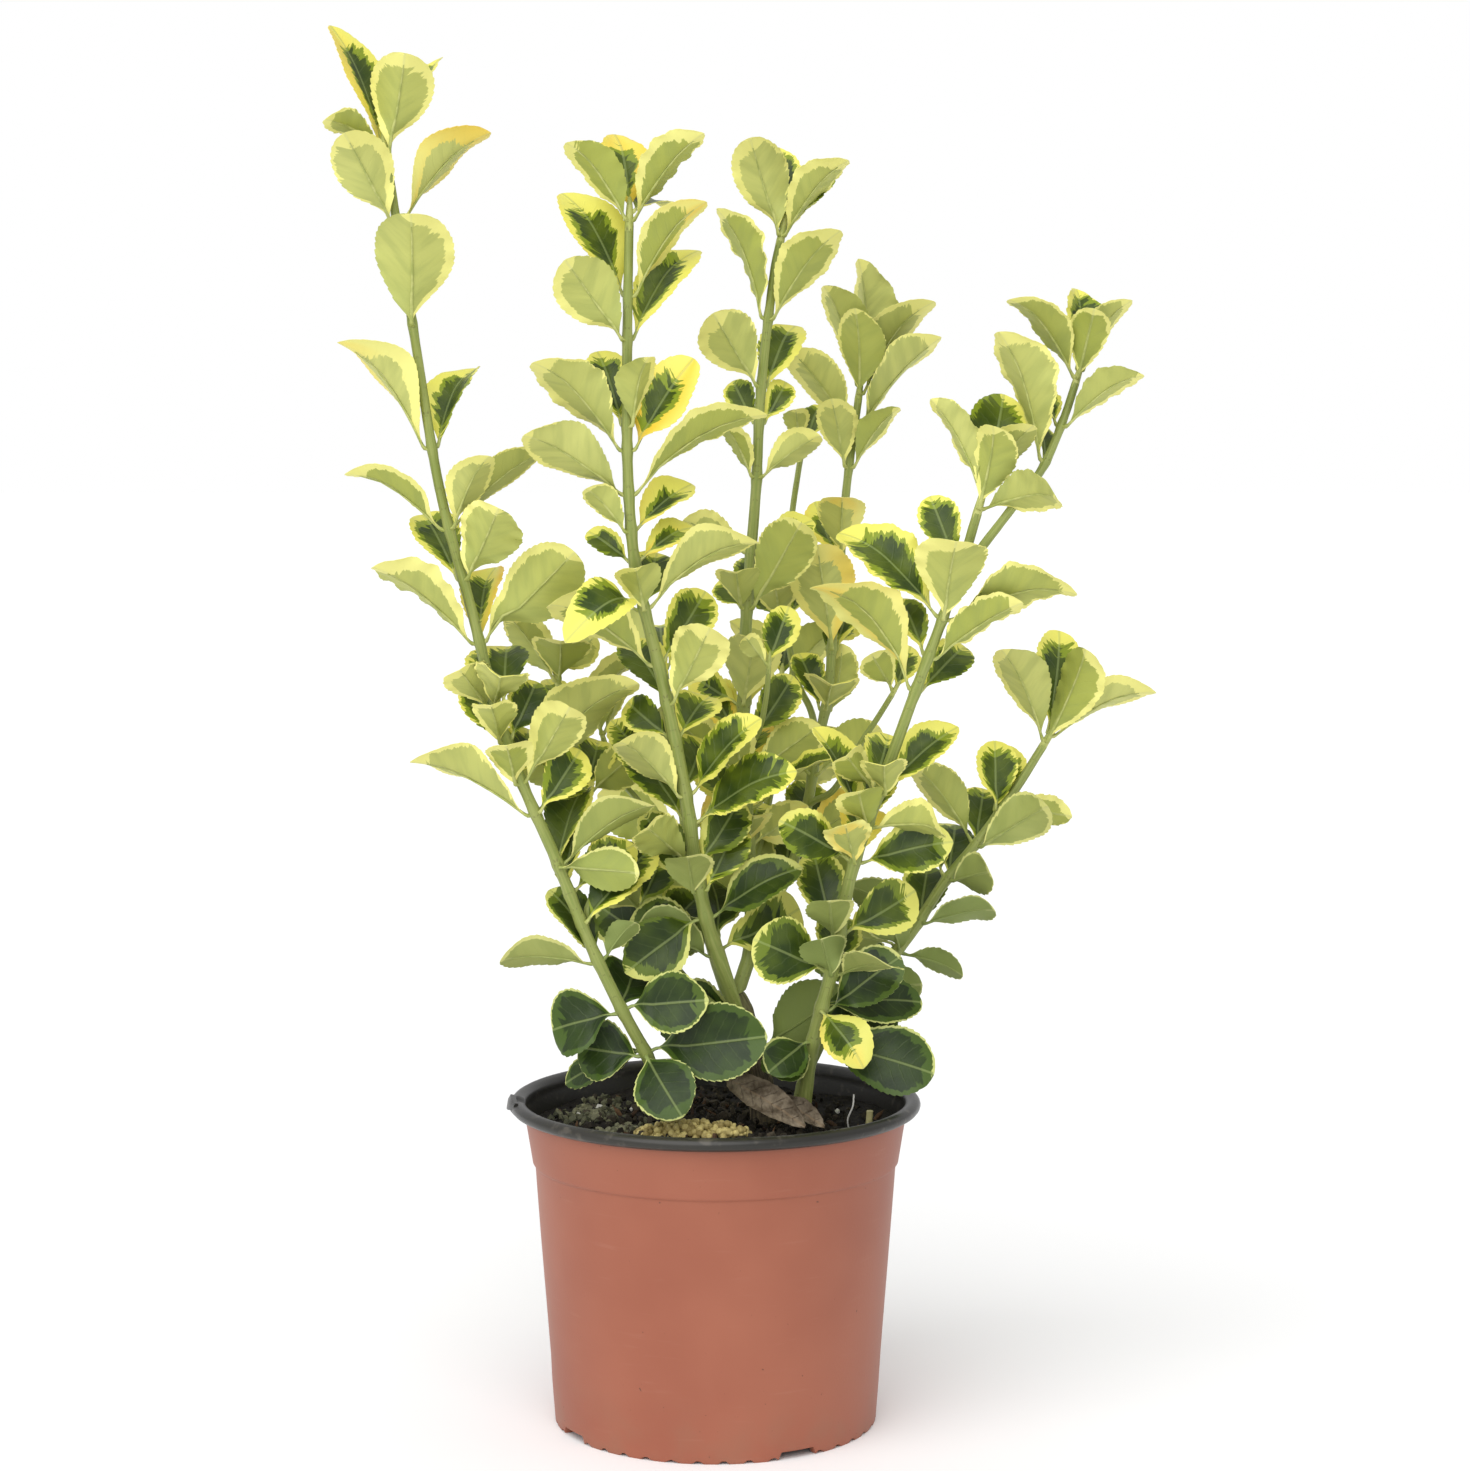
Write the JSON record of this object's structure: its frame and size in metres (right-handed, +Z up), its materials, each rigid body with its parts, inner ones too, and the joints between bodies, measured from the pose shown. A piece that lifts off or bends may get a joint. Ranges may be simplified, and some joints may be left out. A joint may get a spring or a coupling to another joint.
{
  "type": "potted shrub",
  "caption": "Upright variegated evergreen shrub with leaf whorls on green stems, rooted in compost in a thin plastic nursery pot.",
  "frame": {"origin": "middle of the pot's base, on the floor it stands on", "axes": "+Z up along the pot's axis, -Y to the plant's front and +X to its right as seen from the front"},
  "size_m": [0.3358, 0.1862, 0.5732],
  "materials": {
    "pot": "satin terracotta plastic outside, black on the rim and inside",
    "compost": "rough dark crumbs and chips",
    "bark": "rough bark",
    "stem": "smooth green bark",
    "leaf": "waxy green leaf with a yellow margin, paler and matt underneath",
    "withered_leaf": "dry and matt",
    "granule": "matt coated beads"
  },
  "bodies": {
    "root": {"back_left_leaves_1": "leaf", "back_left_stem": "stem", "back_left_tip_leaves": "leaf", "back_right_leaves_1": "leaf", "back_right_stem": "stem", "back_right_tip_leaves": "leaf", "compost": "compost", "fertiliser_granules": "granule", "left_inner_leaves_1": "leaf", "left_inner_stem": "stem", "left_inner_tip_leaves": "leaf", "left_leaves_1": "leaf", "left_leaves_2": "leaf", "left_leaves_3": "leaf", "left_leaves_4": "leaf", "left_leaves_5": "leaf", "left_leaves_6": "leaf", "left_leaves_7": "leaf", "left_stem": "stem", "left_tip_leaves": "leaf", "low_right_leaves_1": "leaf", "low_right_leaves_2": "leaf", "low_right_stem": "stem", "low_right_tip_leaves": "leaf", "mid_left_leaves_1": "leaf", "mid_left_leaves_2": "leaf", "mid_left_leaves_3": "leaf", "mid_left_leaves_4": "leaf", "mid_left_leaves_5": "leaf", "mid_left_leaves_6": "leaf", "mid_left_leaves_7": "leaf", "mid_left_leaves_8": "leaf", "mid_left_stem": "stem", "mid_left_tip_leaves": "leaf", "mid_right_leaves_1": "leaf", "mid_right_leaves_2": "leaf", "mid_right_leaves_3": "leaf", "mid_right_stem": "stem", "mid_right_tip_leaves": "leaf", "middle_leaves_1": "leaf", "middle_leaves_2": "leaf", "middle_leaves_3": "leaf", "middle_leaves_4": "leaf", "middle_leaves_5": "leaf", "middle_stem": "stem", "middle_tip_leaves": "leaf", "pot": "pot", "right_leaves_1": "leaf", "right_leaves_2": "leaf", "right_leaves_3": "leaf", "right_leaves_4": "leaf", "right_leaves_5": "leaf", "right_stem": "stem", "right_tip_leaves": "leaf", "right_top_leaves_1": "leaf", "right_top_stem": "stem", "right_top_tip_leaves": "leaf", "withered_leaf_1": "withered_leaf", "woody_crown": "bark", "woody_crown_leaves_1": "leaf"}
  },
  "joints": []
}
